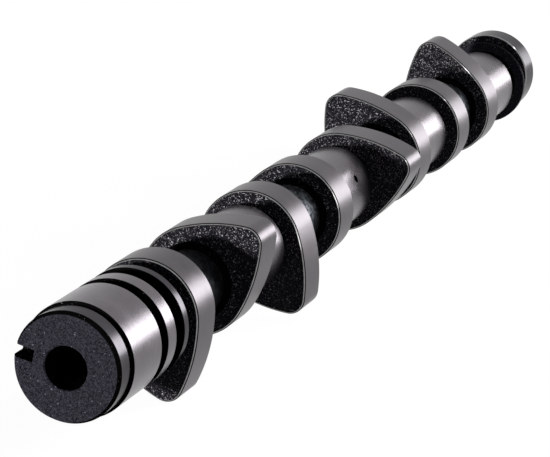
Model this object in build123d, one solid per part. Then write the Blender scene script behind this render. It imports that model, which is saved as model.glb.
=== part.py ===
from build123d import *
import math
import os

# A camshaft for an in-line four-cylinder engine, one iron casting.
# Millimetres and degrees. The shaft's axis is +X and its near end face is at x = 0.
# Angles are turned about +X, from +Y towards +Z.

# Driving dimensions
front_journal_radius = 16.5
journal_radius = 13.25
cylinder_pitch = 82.5
base_radius = 16.8
lobe_lift = 9.2
lobe_width = 13.1
nose_radius = 5.3
flank_radius = 51.0
core_radius = 10.3

# Cam timing
firing_order = (1, 3, 4, 2)
lobe_separation = 110.4
first_exhaust_angle = 252.0
exhaust_leads = (True, False, True, False)

# Places along the axis
first_lobe_x = 52.1
lobe_spacing = 37.0
journal_gap = 4.1
last_journal_length = 27.2
journals = ("second", "third", "fourth", "fifth")

# Front end: collar, then three bearing bands with grooves between them
collar_radius = 15.75
collar_length = 6.9
collar_bevel_length = 1.5
collar_bevel_depth = 0.75
collar_groove_width = 0.95
collar_groove_radius = 14.9
front_journal_length = 19.05
oil_groove_widths = (4.15, 5.4)
oil_groove_radius = 13.2
oil_ring_length = 6.25
thrust_ring_length = 3.5

# Edges and roots
edge_bevel = 0.35
lobe_bevel = 0.5
root_bevel = 1.8

# Bolt hole and slot in the near end, oil hole in one journal
bolt_hole_radius = 6.25
bolt_hole_depth = 40.0
slot_width = 3.6
slot_floor = 9.7
slot_angle = 14.2
oil_hole_radius = 1.25
oil_hole_depth = 8.0
oil_hole_journal = "third"
oil_hole_angle = 153.3
drill_point_angle = 118.0

# Far end: thin disc, eccentric and centre hole
disc_gap = 7.0
disc_length = 2.25
eccentric_radius = 16.0
eccentric_throw = 2.33
eccentric_angle = 95.3
eccentric_length = 10.0
centre_mouth_radius = 3.5
centre_mouth_angle = 60.0
centre_pilot_radius = 1.6
centre_pilot_length = 3.0

# Worked out from the values above
cylinder_count = len(firing_order)
lobe_starts = [
    first_lobe_x + cylinder * cylinder_pitch + place * lobe_spacing
    for cylinder in range(cylinder_count)
    for place in range(2)
]
pair_length = lobe_spacing + lobe_width
journal_starts = {
    name: first_lobe_x + cylinder * cylinder_pitch + pair_length + journal_gap
    for cylinder, name in enumerate(journals)
}
journal_lengths = dict.fromkeys(journals, cylinder_pitch - pair_length - 2 * journal_gap)
journal_lengths[journals[-1]] = last_journal_length
hub_radius = (base_radius + core_radius) / 2
disc_x = journal_starts[journals[-1]] + last_journal_length + disc_gap
disc_end = disc_x + disc_length


def lobe_angles():
    """Nose angle of each lobe, from the near end to the far end."""
    firing_step = 360 / cylinder_count
    angles = []
    for cylinder in range(cylinder_count):
        fired = firing_order.index(cylinder + 1)
        exhaust = first_exhaust_angle - fired * firing_step
        intake = exhaust - lobe_separation
        pair = (exhaust, intake)
        angles += pair if exhaust_leads[cylinder] else pair[::-1]
    return angles


def plain(start, end, radius):
    """Outline of a band with square edges."""
    return [(start, radius), (end, radius)]


def turned(start, end, radius):
    """Outline of a band that stands out and has its two edges bevelled."""
    low = radius - edge_bevel
    return [(start, low), (start + edge_bevel, radius), (end - edge_bevel, radius), (end, low)]


def collar(end):
    """Outline of the collar, with its longer bevel at the near end face."""
    low = collar_radius - collar_bevel_depth
    return [(0, low), (collar_bevel_length, collar_radius)] + turned(0, end, collar_radius)[2:]


def core(start, end):
    """Outline of the cast core between two faces, bevelled into both by a third of its length at most."""
    bevel = min(root_bevel, (end - start) / 3)
    high = core_radius + bevel
    return [(start, high), (start + bevel, core_radius), (end - bevel, core_radius), (end, high)]


def front_outline():
    """Outline of the collar and of the front bearing's bands, up to the first lobe."""
    ends = [collar_length]
    for length in (
        collar_groove_width,
        front_journal_length,
        oil_groove_widths[0],
        oil_ring_length,
        oil_groove_widths[1],
        thrust_ring_length,
    ):
        ends.append(ends[-1] + length)
    points = collar(ends[0])
    points += plain(ends[0], ends[1], collar_groove_radius)
    points += turned(ends[1], ends[2], front_journal_radius)
    points += plain(ends[2], ends[3], oil_groove_radius)
    points += turned(ends[3], ends[4], front_journal_radius)
    points += plain(ends[4], ends[5], oil_groove_radius)
    points += turned(ends[5], ends[6], front_journal_radius)
    return points + core(ends[6], first_lobe_x)


def cylinder_outline(cylinder, journal):
    """Outline of one cylinder's two lobe hubs and of the journal behind them."""
    first, second = lobe_starts[2 * cylinder : 2 * cylinder + 2]
    journal_start = journal_starts[journal]
    journal_end = journal_start + journal_lengths[journal]
    core_end = lobe_starts[2 * cylinder + 2] if cylinder + 1 < cylinder_count else disc_x
    points = plain(first, first + lobe_width, hub_radius)
    points += core(first + lobe_width, second)
    points += plain(second, second + lobe_width, hub_radius)
    points += core(second + lobe_width, journal_start)
    points += turned(journal_start, journal_end, journal_radius)
    return points + core(journal_end, core_end)


def shaft():
    """Everything that is turned or cast round the axis, as one solid of revolution."""
    points = [(0, 0)] + front_outline()
    for cylinder, journal in enumerate(journal_starts):
        points += cylinder_outline(cylinder, journal)
    points += turned(disc_x, disc_end, collar_radius) + [(disc_end, 0)]
    return revolve(Plane.XY * make_face(Polyline(*points, close=True)), Axis.X)


def lobe_face():
    """Cam section with its nose on +Y: base circle, two round flanks and the nose."""
    nose_centre = Vector(base_radius + lobe_lift - nose_radius, 0)
    to_base = flank_radius - base_radius
    to_nose = flank_radius - nose_radius
    flank_y = (to_base**2 - to_nose**2 + nose_centre.X**2) / (2 * nose_centre.X)
    flank_z = -math.sqrt(to_base**2 - flank_y**2)
    flank_centre = Vector(flank_y, flank_z)
    base_end = flank_centre.normalized() * -base_radius
    nose_start = nose_centre + (nose_centre - flank_centre).normalized() * nose_radius
    half_way = flank_centre + ((base_end + nose_start) / 2 - flank_centre).normalized() * flank_radius

    def mirrored(point):
        return Vector(point.X, -point.Y)

    outline = [
        ThreePointArc(mirrored(base_end), (-base_radius, 0), base_end),
        ThreePointArc(base_end, half_way, nose_start),
        ThreePointArc(nose_start, (base_radius + lobe_lift, 0), mirrored(nose_start)),
        ThreePointArc(mirrored(nose_start), mirrored(half_way), mirrored(base_end)),
    ]
    return make_face(Curve() + outline)


def lobe():
    """One lobe from x = 0, with its ground rim bevelled at both faces."""
    blank = extrude(Plane.YZ * lobe_face(), lobe_width)
    faces = blank.faces().sort_by(Axis.X)
    return chamfer(faces[0].edges() + faces[-1].edges(), lobe_bevel)


def eccentric():
    """Round disc of the far end, off the axis by its throw."""
    disc = Cylinder(eccentric_radius, eccentric_length, align=(Align.CENTER, Align.CENTER, Align.MIN))
    disc = chamfer(disc.edges().filter_by(GeomType.CIRCLE), edge_bevel)
    return Rot(X=eccentric_angle) * Pos(disc_end, eccentric_throw, 0) * Rot(Y=90) * disc


def drilled(*points):
    """Hole turned about +X from the outline of its wall, from its mouth to its bottom."""
    return revolve(Plane.XY * make_face(Polyline((0, 0), *points, close=True)), Axis.X)


def drilling(radius, depth):
    """Drilled hole along +X from x = 0, with a conical bottom past its depth."""
    point = radius / math.tan(math.radians(drill_point_angle / 2))
    return drilled((0, radius), (depth, radius), (depth + point, 0))


def slot():
    """Radial slot across the collar, up to the front journal's face."""
    length = collar_length + collar_groove_width
    block = Box(length, collar_radius, slot_width, align=(Align.MIN, Align.MIN, Align.CENTER))
    return Rot(X=slot_angle) * Pos(0, slot_floor, 0) * block


def oil_hole():
    """Hole drilled square to the axis into the middle of one journal."""
    x = journal_starts[oil_hole_journal] + journal_lengths[oil_hole_journal] / 2
    hole = Rot(Z=-90) * drilling(oil_hole_radius, oil_hole_depth)
    return Rot(X=oil_hole_angle) * Pos(x, journal_radius, 0) * hole


def centre_hole():
    """Centre hole of the far end face: a conical mouth and a pilot."""
    mouth = (centre_mouth_radius - centre_pilot_radius) / math.tan(math.radians(centre_mouth_angle / 2))
    bottom = mouth + centre_pilot_length
    hole = drilled(
        (0, centre_mouth_radius), (mouth, centre_pilot_radius), (bottom, centre_pilot_radius), (bottom, 0)
    )
    return Pos(disc_end + eccentric_length, 0, 0) * Rot(Z=180) * hole


def camshaft():
    """The whole casting, with its holes and slot cut."""
    lobes = [Pos(x, 0, 0) * Rot(X=angle) * lobe() for x, angle in zip(lobe_starts, lobe_angles())]
    body = shaft() + lobes + eccentric()
    return body - drilling(bolt_hole_radius, bolt_hole_depth) - slot() - oil_hole() - centre_hole()


part = camshaft()
part.label = "camshaft"
os.makedirs("parts", exist_ok=True)
export_step(part, "parts/camshaft.step")
print("solids", len(part.solids()), "volume", round(part.volume))
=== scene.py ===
import bpy
import bmesh
import math
import numpy as np
from mathutils import Matrix, Vector, noise


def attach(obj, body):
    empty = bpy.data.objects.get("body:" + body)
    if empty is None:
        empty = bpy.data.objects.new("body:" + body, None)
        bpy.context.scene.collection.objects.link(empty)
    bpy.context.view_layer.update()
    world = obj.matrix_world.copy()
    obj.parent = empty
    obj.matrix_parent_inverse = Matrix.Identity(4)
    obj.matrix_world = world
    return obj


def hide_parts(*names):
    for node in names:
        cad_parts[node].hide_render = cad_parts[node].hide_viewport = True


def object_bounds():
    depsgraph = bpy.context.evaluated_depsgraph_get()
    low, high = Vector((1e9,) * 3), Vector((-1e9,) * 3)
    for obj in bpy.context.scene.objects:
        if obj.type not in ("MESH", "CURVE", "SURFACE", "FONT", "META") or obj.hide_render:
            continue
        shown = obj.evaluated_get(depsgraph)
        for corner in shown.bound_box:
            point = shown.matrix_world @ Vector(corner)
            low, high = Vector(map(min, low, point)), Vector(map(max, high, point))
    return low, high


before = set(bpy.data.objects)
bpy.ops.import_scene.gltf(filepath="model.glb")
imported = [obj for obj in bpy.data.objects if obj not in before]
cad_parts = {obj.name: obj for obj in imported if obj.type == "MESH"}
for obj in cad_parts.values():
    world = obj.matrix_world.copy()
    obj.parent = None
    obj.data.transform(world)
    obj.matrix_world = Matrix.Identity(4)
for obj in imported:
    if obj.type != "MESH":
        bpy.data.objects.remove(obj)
cad_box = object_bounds()

# Sizes in millimetres and degrees, as in the solid. The axis is +X, the near end face is at x = 0,
# and angles turn about +X from +Y towards +Z.
MM = 0.001

# Finishes, in the order of the materials
GROUND, RIM, CAST, CORE, COLLAR, FACE, GROOVE, EDGE, CUT_FACE_HIGHLIGHT = range(9)

# Lobes
BASE_RADIUS = 16.8
LOBE_LIFT = 9.2
LOBE_WIDTH = 13.1
NOSE_RADIUS = 5.3
FLANK_RADIUS = 51.0
LOBE_BEVEL = 0.5

# Cam timing
FIRING_ORDER = (1, 3, 4, 2)
LOBE_SEPARATION = 110.4
FIRST_EXHAUST_ANGLE = 252.0
EXHAUST_LEADS = (True, False, True, False)

# Places along the axis
FIRST_LOBE_X = 52.1
CYLINDER_PITCH = 82.5
LOBE_SPACING = 37.0
JOURNAL_GAP = 4.1
INNER_JOURNAL_LENGTH = CYLINDER_PITCH - LOBE_SPACING - LOBE_WIDTH - 2 * JOURNAL_GAP
LAST_JOURNAL_LENGTH = 27.2
JOURNAL_LENGTHS = [INNER_JOURNAL_LENGTH] * (len(FIRING_ORDER) - 1) + [LAST_JOURNAL_LENGTH]

# Core, journals and edges
CORE_RADIUS = 10.3
ROOT = 1.8
JOURNAL_RADIUS = 13.25
EDGE_BEVEL = 0.35

# Near end: collar with its longer bevel, then bands, each with the groove before it
COLLAR_RADIUS = 15.75
COLLAR_LENGTH = 6.9
COLLAR_BEVEL_LENGTH = 1.5
COLLAR_BEVEL_DEPTH = 0.75
COLLAR_GROOVE_WIDTH = 0.95
COLLAR_GROOVE_RADIUS = 14.9
FRONT_JOURNAL_RADIUS = 16.5
FRONT_JOURNAL_LENGTH = 19.05
OIL_GROOVE_WIDTHS = (4.15, 5.4)
OIL_GROOVE_RADIUS = 13.2
OIL_RING_LENGTH = 6.25
THRUST_RING_LENGTH = 3.5
FRONT_BANDS = (
    (COLLAR_GROOVE_WIDTH, COLLAR_GROOVE_RADIUS, FRONT_JOURNAL_LENGTH, GROUND),
    (OIL_GROOVE_WIDTHS[0], OIL_GROOVE_RADIUS, OIL_RING_LENGTH, GROUND),
    (OIL_GROOVE_WIDTHS[1], OIL_GROOVE_RADIUS, THRUST_RING_LENGTH, COLLAR),
)

# Bolt hole and slot of the near end, oil hole in the journal behind a cylinder, counted from 0
HOLE_RADIUS = 6.25
HOLE_DEPTH = 40.0
HOLE_POINT = 3.75
HOLE_BEVEL_LENGTH = 0.4
HOLE_BEVEL_DEPTH = 0.3
SLOT_WIDTH = 3.6
SLOT_FLOOR = 9.7
SLOT_ANGLE = 14.2
OIL_HOLE_RADIUS = 1.25
OIL_HOLE_DEPTH = 8.0
OIL_HOLE_CYLINDER = 1
OIL_HOLE_ANGLE = 153.3

# Far end: thin disc, eccentric and centre hole
DISC_GAP = 7.0
DISC_LENGTH = 2.25
ECCENTRIC_RADIUS = 16.0
ECCENTRIC_THROW = 2.33
ECCENTRIC_ANGLE = 95.3
ECCENTRIC_LENGTH = 10.0
CENTRE_MOUTH_RADIUS = 3.5
CENTRE_MOUTH_DEPTH = 3.3
CENTRE_PILOT_RADIUS = 1.6
CENTRE_DEPTH = 6.3

# Fineness of the skin
COLUMNS = 324
BAND_ROWS = 2
JOURNAL_ROWS = 8
HOLE_ROWS = 4
ROOT_STEPS = 3
CORE_ROW_LENGTH = 3.0
LEAST_CORE_ROWS = 2
TIP_RADIUS = 0.02
FAR_FACE_RING_RADIUS = 9.0
SHARP_ANGLE = 24

# Cutters: how far they reach past the surface, how far the slot's one reaches into the front journal's
# face, so that the two don't lie in one plane, and the sides of the round one
PAST_SURFACE = 2.0
INTO_JOURNAL = 0.02
ROD_SIDES = 64

# Least part along the axis of the normal of a face that looks to +X
FACING_X = 0.99

# Unevenness of the cast core: its depth, and lumps in a millimetre along it and in a radian round it
LUMP_DEPTH = 0.12
LUMPS_ALONG = 0.35
LUMPS_ROUND = 4.0


# Contours: radius of a cross-section at each column's angle
angles = np.arange(COLUMNS) * 2 * math.pi / COLUMNS


def circle(radius):
    return np.full(COLUMNS, float(radius))


def off_centre(radius, throw, angle):
    """Circle whose centre is off the axis by throw, at angle."""
    away = angles - math.radians(angle)
    return throw * np.cos(away) + np.sqrt(radius**2 - (throw * np.sin(away)) ** 2)


def cam(nose_angle, inset=0.0):
    """Cam contour moved inwards by inset: base circle, two round flanks and the nose."""
    nose_radius = NOSE_RADIUS - inset
    nose_x = BASE_RADIUS + LOBE_LIFT - NOSE_RADIUS
    to_base = FLANK_RADIUS - BASE_RADIUS
    to_nose = FLANK_RADIUS - NOSE_RADIUS
    flank_x = (to_base**2 - to_nose**2 + nose_x**2) / (2 * nose_x)
    flank_y = -math.sqrt(to_base**2 - flank_x**2)
    away = np.abs((angles - math.radians(nose_angle) + math.pi) % (2 * math.pi) - math.pi)
    nose = nose_x * np.cos(away)
    nose_reach = nose + np.sqrt(np.maximum(nose**2 - nose_x**2 + nose_radius**2, 0))
    flank = flank_x * np.cos(away) + flank_y * np.sin(away)
    flank_reach = flank + np.sqrt(flank**2 - to_base**2 + (FLANK_RADIUS - inset) ** 2)
    base_from = math.atan2(-flank_y, -flank_x)
    slope = math.atan2(-flank_y, nose_x - flank_x)
    nose_to = math.atan2(nose_radius * math.sin(slope), nose_x + nose_radius * math.cos(slope))
    reach = np.where(away < nose_to, nose_reach, flank_reach)
    return np.where(away > base_from, BASE_RADIUS - inset, reach)


def rough_circle(x):
    """Circle of the cast core, uneven by up to about LUMP_DEPTH."""
    contour = circle(CORE_RADIUS)
    for column, angle in enumerate(angles):
        place = Vector((x * LUMPS_ALONG, math.cos(angle) * LUMPS_ROUND, math.sin(angle) * LUMPS_ROUND))
        contour[column] += LUMP_DEPTH * noise.noise(place)
    return contour


class Loft:
    """Rings of columns along the axis, joined into one skin with a finish for each strip."""

    def __init__(self):
        self.rings = []
        self.finishes = []

    def ring(self, x, contour, finish=None):
        """Adds a ring. finish is that of the strip between it and the ring before."""
        if self.rings:
            self.finishes.append(finish)
        self.rings.append((x, contour))

    def rows(self, start, end, contour, finish, count):
        """Adds count rings of one contour, evenly spaced up to end."""
        for step in range(1, count + 1):
            self.ring(start + (end - start) * step / count, contour, finish)


def turned(loft, start, end, radius, finish, rise, rows=BAND_ROWS):
    """A band that stands out: the face it rises by, a bevel, the band and its last bevel."""
    loft.ring(start, circle(radius - EDGE_BEVEL), rise)
    loft.ring(start + EDGE_BEVEL, circle(radius), rise)
    loft.rows(start + EDGE_BEVEL, end - EDGE_BEVEL, circle(radius), finish, rows)
    loft.ring(end, circle(radius - EDGE_BEVEL), finish)


def core(loft, start, end):
    """Cast core between two faces, with a round root at both of a third of its length at most."""
    root = min(ROOT, (end - start) / 3)
    turns = [math.pi / 2 * step / ROOT_STEPS for step in range(ROOT_STEPS + 1)]
    profile = [(root * (1 - math.cos(turn)), CORE_RADIUS + root * (1 - math.sin(turn))) for turn in turns]
    # The roots are flat black: painted shade in these hollows
    for depth, radius in profile:
        loft.ring(start + depth, circle(radius), GROOVE)
    length = end - start - 2 * root
    rows = max(LEAST_CORE_ROWS, round(length / CORE_ROW_LENGTH))
    for row in range(1, rows):
        x = start + root + length * row / rows
        loft.ring(x, rough_circle(x), CORE)
    finish = CORE
    for depth, radius in reversed(profile):
        loft.ring(end - depth, circle(radius), finish)
        finish = GROOVE


def lobe(loft, start, nose_angle):
    """Cast faces with a ring halfway up them, edges bevelled in two steps, and the ground rim."""
    end = start + LOBE_WIDTH
    steps = ((0.0, LOBE_BEVEL), (LOBE_BEVEL / 2, LOBE_BEVEL / 2), (LOBE_BEVEL, 0.0))
    middle = (circle(CORE_RADIUS + ROOT) + cam(nose_angle, LOBE_BEVEL)) / 2
    loft.ring(start, middle, CAST)
    for (depth, inset), finish in zip(steps, (CAST, EDGE, GROOVE)):
        loft.ring(start + depth, cam(nose_angle, inset), finish)
    loft.rows(start + LOBE_BEVEL, end - LOBE_BEVEL, cam(nose_angle), RIM, BAND_ROWS)
    for (depth, inset), finish in zip(reversed(steps[:2]), (GROOVE, EDGE)):
        loft.ring(end - depth, cam(nose_angle, inset), finish)
    loft.ring(end, middle, CAST)


def lobe_angles():
    """Nose angle of each lobe, from the near end to the far end."""
    firing_step = 360 / len(FIRING_ORDER)
    noses = []
    for cylinder, exhaust_leads in enumerate(EXHAUST_LEADS):
        exhaust = FIRST_EXHAUST_ANGLE - FIRING_ORDER.index(cylinder + 1) * firing_step
        pair = (exhaust, exhaust - LOBE_SEPARATION)
        noses += pair if exhaust_leads else pair[::-1]
    return noses


def lobe_start(cylinder, place):
    """Near face of a cylinder's first or second lobe."""
    return FIRST_LOBE_X + cylinder * CYLINDER_PITCH + place * LOBE_SPACING


def journal_start(cylinder):
    """Near face of the journal behind a cylinder's lobes."""
    return lobe_start(cylinder, 1) + LOBE_WIDTH + JOURNAL_GAP


def front_end(loft):
    """From the bottom of the bolt hole, over the near face and the bands, whose far face it returns."""
    loft.ring(HOLE_DEPTH + HOLE_POINT, circle(TIP_RADIUS))
    # The bolt hole is flat black: painted shade
    loft.ring(HOLE_DEPTH, circle(HOLE_RADIUS), GROOVE)
    loft.rows(HOLE_DEPTH, HOLE_BEVEL_LENGTH, circle(HOLE_RADIUS), GROOVE, HOLE_ROWS)
    loft.ring(0, circle(HOLE_RADIUS + HOLE_BEVEL_DEPTH), FACE)
    outer = COLLAR_RADIUS - COLLAR_BEVEL_DEPTH
    loft.ring(0, circle((HOLE_RADIUS + outer) / 2), FACE)
    loft.ring(0, circle(outer), FACE)
    loft.ring(COLLAR_BEVEL_LENGTH, circle(COLLAR_RADIUS), GROOVE)
    loft.rows(COLLAR_BEVEL_LENGTH, COLLAR_LENGTH - EDGE_BEVEL, circle(COLLAR_RADIUS), COLLAR, BAND_ROWS)
    loft.ring(COLLAR_LENGTH, circle(COLLAR_RADIUS - EDGE_BEVEL), COLLAR)
    end = COLLAR_LENGTH
    for groove_width, groove_radius, length, finish in FRONT_BANDS:
        start = end + groove_width
        loft.ring(end, circle(groove_radius), GROOVE)
        loft.ring(start, circle(groove_radius), GROOVE)
        end = start + length
        # The faces these bands rise by are flat black: painted shade
        turned(loft, start, end, FRONT_JOURNAL_RADIUS, finish, GROOVE)
    return end


def far_end(loft, disc_x):
    """Thin disc, eccentric and the centre hole in the end face."""
    disc_end = disc_x + DISC_LENGTH
    turned(loft, disc_x, disc_end, COLLAR_RADIUS, COLLAR, FACE, rows=1)
    end = disc_end + ECCENTRIC_LENGTH
    rim = off_centre(ECCENTRIC_RADIUS, ECCENTRIC_THROW, ECCENTRIC_ANGLE)
    edge = off_centre(ECCENTRIC_RADIUS - EDGE_BEVEL, ECCENTRIC_THROW, ECCENTRIC_ANGLE)
    loft.ring(disc_end, edge, CAST)
    loft.ring(disc_end + EDGE_BEVEL, rim, EDGE)
    loft.rows(disc_end + EDGE_BEVEL, end - EDGE_BEVEL, rim, COLLAR, BAND_ROWS)
    loft.ring(end, edge, COLLAR)
    loft.ring(end, circle(FAR_FACE_RING_RADIUS), FACE)
    loft.ring(end, circle(CENTRE_MOUTH_RADIUS), FACE)
    loft.ring(end - CENTRE_MOUTH_DEPTH, circle(CENTRE_PILOT_RADIUS), FACE)
    # The centre hole's bottom is flat black: painted shade
    loft.ring(end - CENTRE_DEPTH, circle(CENTRE_PILOT_RADIUS), GROOVE)
    loft.ring(end - CENTRE_DEPTH, circle(TIP_RADIUS), GROOVE)


def whole_shaft():
    """The whole skin, from the near end's bolt hole to the far end's centre hole."""
    loft = Loft()
    start = front_end(loft)
    noses = lobe_angles()
    for cylinder, journal_length in enumerate(JOURNAL_LENGTHS):
        for place in range(2):
            lobe_x = lobe_start(cylinder, place)
            core(loft, start, lobe_x)
            lobe(loft, lobe_x, noses[2 * cylinder + place])
            start = lobe_x + LOBE_WIDTH
        journal_x = journal_start(cylinder)
        core(loft, start, journal_x)
        start = journal_x + journal_length
        turned(loft, journal_x, start, JOURNAL_RADIUS, GROUND, COLLAR, rows=JOURNAL_ROWS)
    core(loft, start, start + DISC_GAP)
    far_end(loft, start + DISC_GAP)
    return loft


def mesh_object(name, points, faces, finishes, materials):
    """Makes a mesh object. finishes holds each face's material, by number."""
    mesh = bpy.data.meshes.new(name)
    mesh.from_pydata(points, [], faces)
    for material in materials:
        mesh.materials.append(material)
    mesh.polygons.foreach_set("material_index", finishes)
    mesh.update()
    piece = bpy.data.objects.new(name, mesh)
    bpy.context.scene.collection.objects.link(piece)
    return piece


def skin(loft, materials):
    """Turns a loft into a mesh object, closed at both its ends."""
    points = []
    for x, contour in loft.rings:
        for radius, angle in zip(contour, angles):
            points.append((x * MM, radius * math.cos(angle) * MM, radius * math.sin(angle) * MM))
    faces = []
    finishes = []
    for number, finish in enumerate(loft.finishes):
        low, high = number * COLUMNS, (number + 1) * COLUMNS
        for column in range(COLUMNS):
            beside = (column + 1) % COLUMNS
            faces.append((low + beside, low + column, high + column, high + beside))
            finishes.append(finish)
    last = (len(loft.rings) - 1) * COLUMNS
    faces.append(tuple(range(COLUMNS)))
    faces.append(tuple(reversed(range(last, last + COLUMNS))))
    finishes += [GROOVE, GROOVE]
    return mesh_object("camshaft_casting", points, faces, finishes, materials)


def block(length, height, width):
    """A block centred on the origin."""
    maker = bmesh.new()
    bmesh.ops.create_cube(maker, size=1, matrix=Matrix.Diagonal((length, height, width, 1)))
    return maker


def rod(radius, length):
    """A rod along Y, centred on the origin."""
    maker = bmesh.new()
    lying = Matrix.Rotation(math.pi / 2, 4, "X")
    bmesh.ops.create_cone(
        maker, cap_ends=True, segments=ROD_SIDES, radius1=radius, radius2=radius, depth=length, matrix=lying
    )
    return maker


def cutter(name, maker, place, turn, materials, end_finish=GROOVE):
    """Object to cut with: a shape at its place, turned about the axis. end_finish is for its +X face."""
    move = Matrix.Rotation(math.radians(turn), 4, "X") @ Matrix.Translation(place)
    maker.transform(Matrix.Scale(MM, 4) @ move)
    mesh = bpy.data.meshes.new(name)
    maker.to_mesh(mesh)
    maker.free()
    for material in materials:
        mesh.materials.append(material)
    # The cut walls are flat black: painted shade
    for face in mesh.polygons:
        face.material_index = end_finish if face.normal.x > FACING_X else GROOVE
    tool = bpy.data.objects.new(name, mesh)
    bpy.context.scene.collection.objects.link(tool)
    return tool


def slot_cutter(materials):
    """Slot across the collar and its groove, up to the front journal's face."""
    end = COLLAR_LENGTH + COLLAR_GROOVE_WIDTH + INTO_JOURNAL
    length = end + PAST_SURFACE
    height = COLLAR_RADIUS + PAST_SURFACE - SLOT_FLOOR
    place = Vector((end - length / 2, SLOT_FLOOR + height / 2, 0))
    # The slot's end face takes the pale cut-metal finish, a painted highlight
    return cutter("slot", block(length, height, SLOT_WIDTH), place, SLOT_ANGLE, materials, CUT_FACE_HIGHLIGHT)


def oil_hole_cutter(materials):
    """Hole square to the axis, into the middle of a journal."""
    x = journal_start(OIL_HOLE_CYLINDER) + JOURNAL_LENGTHS[OIL_HOLE_CYLINDER] / 2
    length = OIL_HOLE_DEPTH + PAST_SURFACE
    place = Vector((x, JOURNAL_RADIUS + PAST_SURFACE - length / 2, 0))
    return cutter("oil_hole", rod(OIL_HOLE_RADIUS, length), place, OIL_HOLE_ANGLE, materials)


def cut(piece, tools):
    """Cuts the tools out of the piece and removes them."""
    for tool in tools:
        step = piece.modifiers.new(tool.name, "BOOLEAN")
        step.operation = "DIFFERENCE"
        step.solver = "EXACT"
        step.object = tool
    seen = piece.evaluated_get(bpy.context.evaluated_depsgraph_get())
    result = bpy.data.meshes.new_from_object(seen)
    piece.modifiers.clear()
    piece.data = result
    for tool in tools:
        bpy.data.objects.remove(tool)


class Nodes:
    """Short names for building the nodes of a material or a world."""

    # A Mix node's colour sockets, by number, because they share their names with its other sockets
    MIX_FIRST, MIX_SECOND, MIX_RESULT = 6, 7, 2

    def __init__(self, tree):
        self.tree = tree
        tree.nodes.clear()

    def add(self, kind, inputs=None, **settings):
        """Adds a node. An input is a value, or an output socket to link."""
        node = self.tree.nodes.new("ShaderNode" + kind)
        for name, value in settings.items():
            setattr(node, name, value)
        for name, value in (inputs or {}).items():
            self.feed(node.inputs[name], value)
        return node

    def feed(self, socket, value):
        if isinstance(value, bpy.types.NodeSocket):
            self.tree.links.new(value, socket)
        else:
            socket.default_value = value

    def calculate(self, operation, first, second, clamp=False):
        return self.add("Math", {0: first, 1: second}, operation=operation, use_clamp=clamp).outputs[0]

    def ramp(self, value, stops):
        """Colour ramp of (position, grey) stops."""
        node = self.add("ValToRGB", {"Fac": value})
        elements = node.color_ramp.elements
        while len(elements) < len(stops):
            elements.new(1)
        for element, (position, grey) in zip(elements, stops):
            element.position = position
            element.color = (grey, grey, grey, 1)
        return node.outputs["Color"]

    def spread(self, value, start, end, low, high):
        """Turns start to end into low to high."""
        inputs = {"Value": value, "From Min": start, "From Max": end, "To Min": low, "To Max": high}
        return self.add("MapRange", inputs).outputs[0]

    def mix(self, factor, first, second):
        """Mixes two colours."""
        node = self.add("Mix", {"Factor": factor}, data_type="RGBA")
        self.feed(node.inputs[self.MIX_FIRST], (*first, 1))
        self.feed(node.inputs[self.MIX_SECOND], (*second, 1))
        return node.outputs[self.MIX_RESULT]

    def place(self, scale=(1, 1, 1)):
        """Object coordinates in millimetres, times scale."""
        coordinates = self.add("TexCoord")
        size = [part / MM for part in scale]
        return self.add("Mapping", {"Vector": coordinates.outputs["Object"], "Scale": size}).outputs[0]

    def noise(self, place, scale, detail=2.0, roughness=0.5):
        inputs = {"Vector": place, "Scale": scale, "Detail": detail, "Roughness": roughness}
        return self.add("TexNoise", inputs).outputs[0]

    def bump(self, height, depth, strength):
        """Bump of a depth in millimetres."""
        return self.add("Bump", {"Height": height, "Distance": depth * MM, "Strength": strength}).outputs[0]

    def principled(self, inputs):
        """Ends a material with its shader."""
        shader = self.add("BsdfPrincipled", inputs)
        self.add("OutputMaterial", {"Surface": shader.outputs[0]})


def new_material(name):
    material = bpy.data.materials.new(name)
    material.use_nodes = True
    return material, Nodes(material.node_tree)


# Part of its range that a noise mostly fills, and how far a metal's tone goes to each side of its colour
NOISE_FROM, NOISE_TO = 0.3, 0.7
NOISE_RAMP = ((NOISE_FROM, 0), (NOISE_TO, 1))
TONE_CHANGE = 0.2
ROUGHNESS_CHANGE = 0.02


def shades(colour):
    """The darkest and the palest tone of a metal of this colour."""
    return [[part * (1 + change) for part in colour] for change in (-TONE_CHANGE, TONE_CHANGE)]


def ground_metal(name, colour, roughness, tint):
    """Ground iron: fine rings from the grinding wheel and a slow change of tone."""
    material, nodes = new_material(name)
    rings = nodes.noise(nodes.place(scale=(3.2, 0.35, 0.35)), scale=1.0, detail=3.0)
    patches = nodes.noise(nodes.place(), scale=0.12)
    mean = nodes.calculate("MULTIPLY", nodes.calculate("ADD", rings, patches), 0.5)
    smooth, rough = roughness - ROUGHNESS_CHANGE, roughness + ROUGHNESS_CHANGE
    nodes.principled({
        "Base Color": nodes.mix(nodes.ramp(mean, NOISE_RAMP), *shades(colour)),
        "Metallic": 1.0,
        "Roughness": nodes.spread(patches, NOISE_FROM, NOISE_TO, smooth, rough),
        "Specular Tint": (tint, tint, tint, 1),
        "Normal": nodes.bump(rings, depth=0.001, strength=0.15),
    })
    return material


def cast_skin(name, dark, pale, grains, levels):
    """Sand-cast skin: dark, with two sizes of grains whose paleness comes from levels, by chance."""
    material, nodes = new_material(name)
    tones = []
    for grain in grains:
        cells = nodes.add("TexVoronoi", {"Vector": nodes.place(), "Scale": 1 / grain})
        parts = nodes.add("SeparateColor", {"Color": cells.outputs["Color"]})
        tones.append(nodes.ramp(parts.outputs[0], levels))
    lumps = nodes.noise(nodes.place(), scale=0.9, detail=4.0, roughness=0.6)
    nodes.principled({
        "Base Color": nodes.mix(nodes.calculate("MAXIMUM", *tones), dark, pale),
        "Roughness": 0.55,
        "Specular IOR Level": 0.04,
        "Normal": nodes.bump(lumps, depth=0.25, strength=0.6),
    })
    return material
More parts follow.
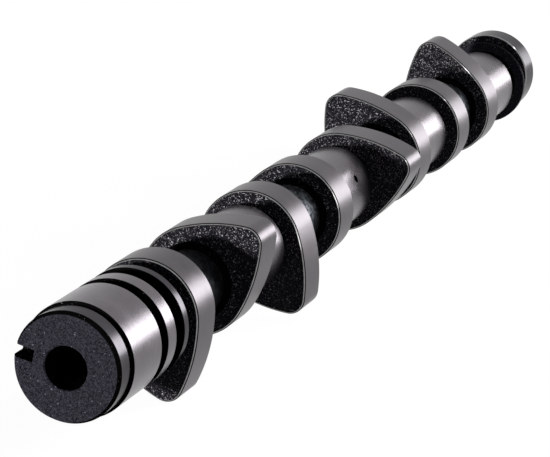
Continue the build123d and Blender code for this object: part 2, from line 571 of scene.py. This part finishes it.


# Core scale's shine in patches, dimmed by painted shade near the near end to a first share, fading out
# along x
SHINE_RAMP = ((0.4, 0), (0.65, 1))
NEAR_SHADE_FADES_FROM_X, NEAR_SHADE_GONE_AT_X = 90, 130
SHINE_LEFT_IN_NEAR_SHADE = 0.3
BLACK_SCALE = (0.006, 0.0065, 0.008)
BLUE_SCALE = (0.19, 0.205, 0.23)


def core_skin():
    """The core's skin: black scale, with a bluish shine in patches, dimmed by painted shade towards the
    near end.
    """
    material, nodes = new_material("core_skin")
    patches = nodes.noise(nodes.place(), scale=0.8, detail=5.0, roughness=0.65)
    lumps = nodes.noise(nodes.place(), scale=1.6, detail=4.0, roughness=0.6)
    along = nodes.add("SeparateXYZ", {0: nodes.place()}).outputs[0]
    # Painted shade: the shine is cut to a first share at the near end and rises to full further along x
    share = nodes.spread(along, NEAR_SHADE_FADES_FROM_X, NEAR_SHADE_GONE_AT_X, SHINE_LEFT_IN_NEAR_SHADE, 1)
    shine = nodes.calculate("MULTIPLY", nodes.ramp(patches, SHINE_RAMP), share)
    nodes.principled({
        "Base Color": nodes.mix(shine, BLACK_SCALE, BLUE_SCALE),
        "Metallic": 1.0,
        "Roughness": 0.36,
        "Specular Tint": (0.8, 0.8, 0.8, 1),
        "Normal": nodes.bump(lumps, depth=0.05, strength=0.8),
    })
    return material


# Flat black of the grooves, and painted shade in roots, holes and cut walls, with a few specks
SPECK_RAMP = ((0.70, 0), (0.74, 1))
BLACK_AND_SHADE = (0.003, 0.003, 0.003)
SPECK = (0.35, 0.35, 0.35)


def black_and_painted_shade():
    """Flat black without gloss, with a few pale specks: the grooves' black, and painted shade in the roots,
    holes, slot walls and the faces the front bands rise by.
    """
    material, nodes = new_material("groove_black_and_painted_shade")
    specks = nodes.ramp(nodes.noise(nodes.place(), scale=2.2, detail=3.0), SPECK_RAMP)
    nodes.principled({
        "Base Color": nodes.mix(specks, BLACK_AND_SHADE, SPECK),
        "Roughness": 0.6,
        "Specular IOR Level": 0.0,
    })
    return material


def bright_metal(name, grey, roughness, tint):
    """Bare bevelled or cut metal, a little uneven along its length. Made very pale, it is a painted
    highlight.
    """
    material, nodes = new_material(name)
    wear = nodes.ramp(nodes.noise(nodes.place(), scale=0.5), NOISE_RAMP)
    nodes.principled({
        "Base Color": nodes.mix(wear, *shades([grey] * 3)),
        "Metallic": 1.0,
        "Roughness": roughness,
        "Specular Tint": (tint, tint, tint, 1),
    })
    return material


# Paleness of a cast grain by chance: few bright ones on the lobes' faces, an even bloom on the near end
CAST_LEVELS = ((0.78, 0.0), (0.95, 0.07), (1.0, 1.0))
FACE_LEVELS = ((0.4, 0.0), (0.997, 0.15), (1.0, 0.9))

materials = [
    ground_metal("ground_iron", colour=(0.114, 0.103, 0.114), roughness=0.26, tint=0.9),
    ground_metal("rim_iron", colour=(0.088, 0.080, 0.088), roughness=0.31, tint=0.8),
    cast_skin(
        "cast_skin", dark=(0.004, 0.0038, 0.0065), pale=(0.54, 0.51, 0.55), grains=(0.17, 0.30),
        levels=CAST_LEVELS,
    ),
    core_skin(),
    ground_metal("collar_iron", colour=(0.066, 0.062, 0.069), roughness=0.21, tint=0.6),
    cast_skin(
        "face_skin", dark=(0.003, 0.0027, 0.006), pale=(0.25, 0.246, 0.304), grains=(0.22, 0.34),
        levels=FACE_LEVELS,
    ),
    # Flat black: the grooves' black, and painted shade in roots, holes and cut walls
    black_and_painted_shade(),
    bright_metal("edge_iron", grey=0.21, roughness=0.14, tint=0.9),
    # Painted highlight: the slot's end face, bare cut metal made far paler than the ground iron
    bright_metal("cut_iron_painted_highlight", grey=0.8, roughness=0.2, tint=1.0),
]

shaft = skin(whole_shaft(), materials)
cut(shaft, [slot_cutter(materials), oil_hole_cutter(materials)])
shaft.data.shade_smooth()
shaft.data.set_sharp_from_angle(angle=math.radians(SHARP_ANGLE))
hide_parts("camshaft")
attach(shaft, "root")

# Camera beyond the near end, to one side and above, with a long lens. Places and sizes are in metres
# from here on.
CAMERA_PLACE = Vector((-0.64584, -0.30447, 0.22977))
CAMERA_AIM = Vector((0.15589, -0.00047, -0.00063))
CAMERA_ROLL = -0.096
LENS = 184.12
SENSOR_WIDTH = 36
FAR_CLIP = 20


def facing(place, aim):
    """Matrix of a camera or a lamp at place that looks at aim."""
    look = (Vector(aim) - Vector(place)).to_track_quat("-Z", "Y")
    return Matrix.Translation(place) @ look.to_matrix().to_4x4()


def add_camera():
    """The scene's camera, rolled a little about its line of sight."""
    data = bpy.data.cameras.new("camera")
    data.lens = LENS
    data.sensor_width = SENSOR_WIDTH
    data.clip_end = FAR_CLIP
    camera = bpy.data.objects.new("camera", data)
    bpy.context.scene.collection.objects.link(camera)
    bpy.context.scene.camera = camera
    roll = Matrix.Rotation(math.radians(CAMERA_ROLL), 4, "Z")
    camera.matrix_world = facing(CAMERA_PLACE, CAMERA_AIM) @ roll


def area_light(name, place, aim, size, power):
    """Rectangular lamp. size is its width and height, power is in watts."""
    data = bpy.data.lights.new(name, "AREA")
    data.shape = "RECTANGLE"
    data.size, data.size_y = size
    data.energy = power
    light = bpy.data.objects.new(name, data)
    bpy.context.scene.collection.objects.link(light)
    light.matrix_world = facing(place, aim)


add_camera()
area_light("key", place=(1.6, -0.78, 0.23), aim=(0.05, 0, 0), size=(0.75, 0.52), power=9.5)
area_light("side", place=(-0.25, -0.95, 0.36), aim=(0.15, 0, 0), size=(0.05, 0.72), power=0.75)
area_light("far_side", place=(1.15, -1.15, 0.42), aim=(0.2, 0, 0), size=(0.5, 0.6), power=19)
area_light("top", place=(0.4, -0.85, 1.2), aim=(0.2, 0, 0), size=(1.4, 0.12), power=4.5)
area_light("front", place=(-1.6, 0.40, 0.18), aim=(0.1, 0, 0), size=(0.10, 0.10), power=32)

# Background and floor: the rays that see them white, their light for the others, half the floor's width
BACKGROUND_RAYS = ("Is Camera Ray", "Is Glossy Ray", "Is Transmission Ray")
SOFT_LIGHT = (0.015, 0.015, 0.015, 1)
WHITE = (1, 1, 1, 1)
FLOOR_COLOUR = (0.09, 0.09, 0.09, 1)
FLOOR_GLOW = (0.96, 0.96, 0.96, 1)
FLOOR_HALF = 3.0


def background_share(nodes):
    """1 for the rays that show the background, 0 for those that light the object."""
    path = nodes.add("LightPath")
    share = path.outputs[BACKGROUND_RAYS[0]]
    for ray in BACKGROUND_RAYS[1:]:
        share = nodes.calculate("ADD", share, path.outputs[ray], clamp=True)
    return share


def add_world():
    """Weak even light on the object, and white behind it."""
    world = bpy.data.worlds.new("world")
    bpy.context.scene.world = world
    world.use_nodes = True
    nodes = Nodes(world.node_tree)
    soft = nodes.add("Background", {"Color": SOFT_LIGHT})
    white = nodes.add("Background", {"Color": WHITE})
    shown = nodes.add("MixShader", {0: background_share(nodes), 1: soft.outputs[0], 2: white.outputs[0]})
    nodes.add("OutputWorld", {"Surface": shown.outputs[0]})


def add_floor(z):
    """White floor at height z, which takes the object's shadow."""
    material, nodes = new_material("floor")
    pale = nodes.add("BsdfDiffuse", {"Color": FLOOR_COLOUR})
    glow = nodes.add("Emission", {"Color": FLOOR_GLOW, "Strength": background_share(nodes)})
    lifted = nodes.add("AddShader", {0: pale.outputs[0], 1: glow.outputs[0]})
    nodes.add("OutputMaterial", {"Surface": lifted.outputs[0]})
    corners = [(x * FLOOR_HALF, y * FLOOR_HALF, z) for x, y in ((-1, -1), (1, -1), (1, 1), (-1, 1))]
    return mesh_object("floor", corners, [(0, 1, 2, 3)], [0], [material])


add_world()
floor = add_floor(z=cad_box[0][2])

bpy.context.scene.view_settings.view_transform = "Standard"
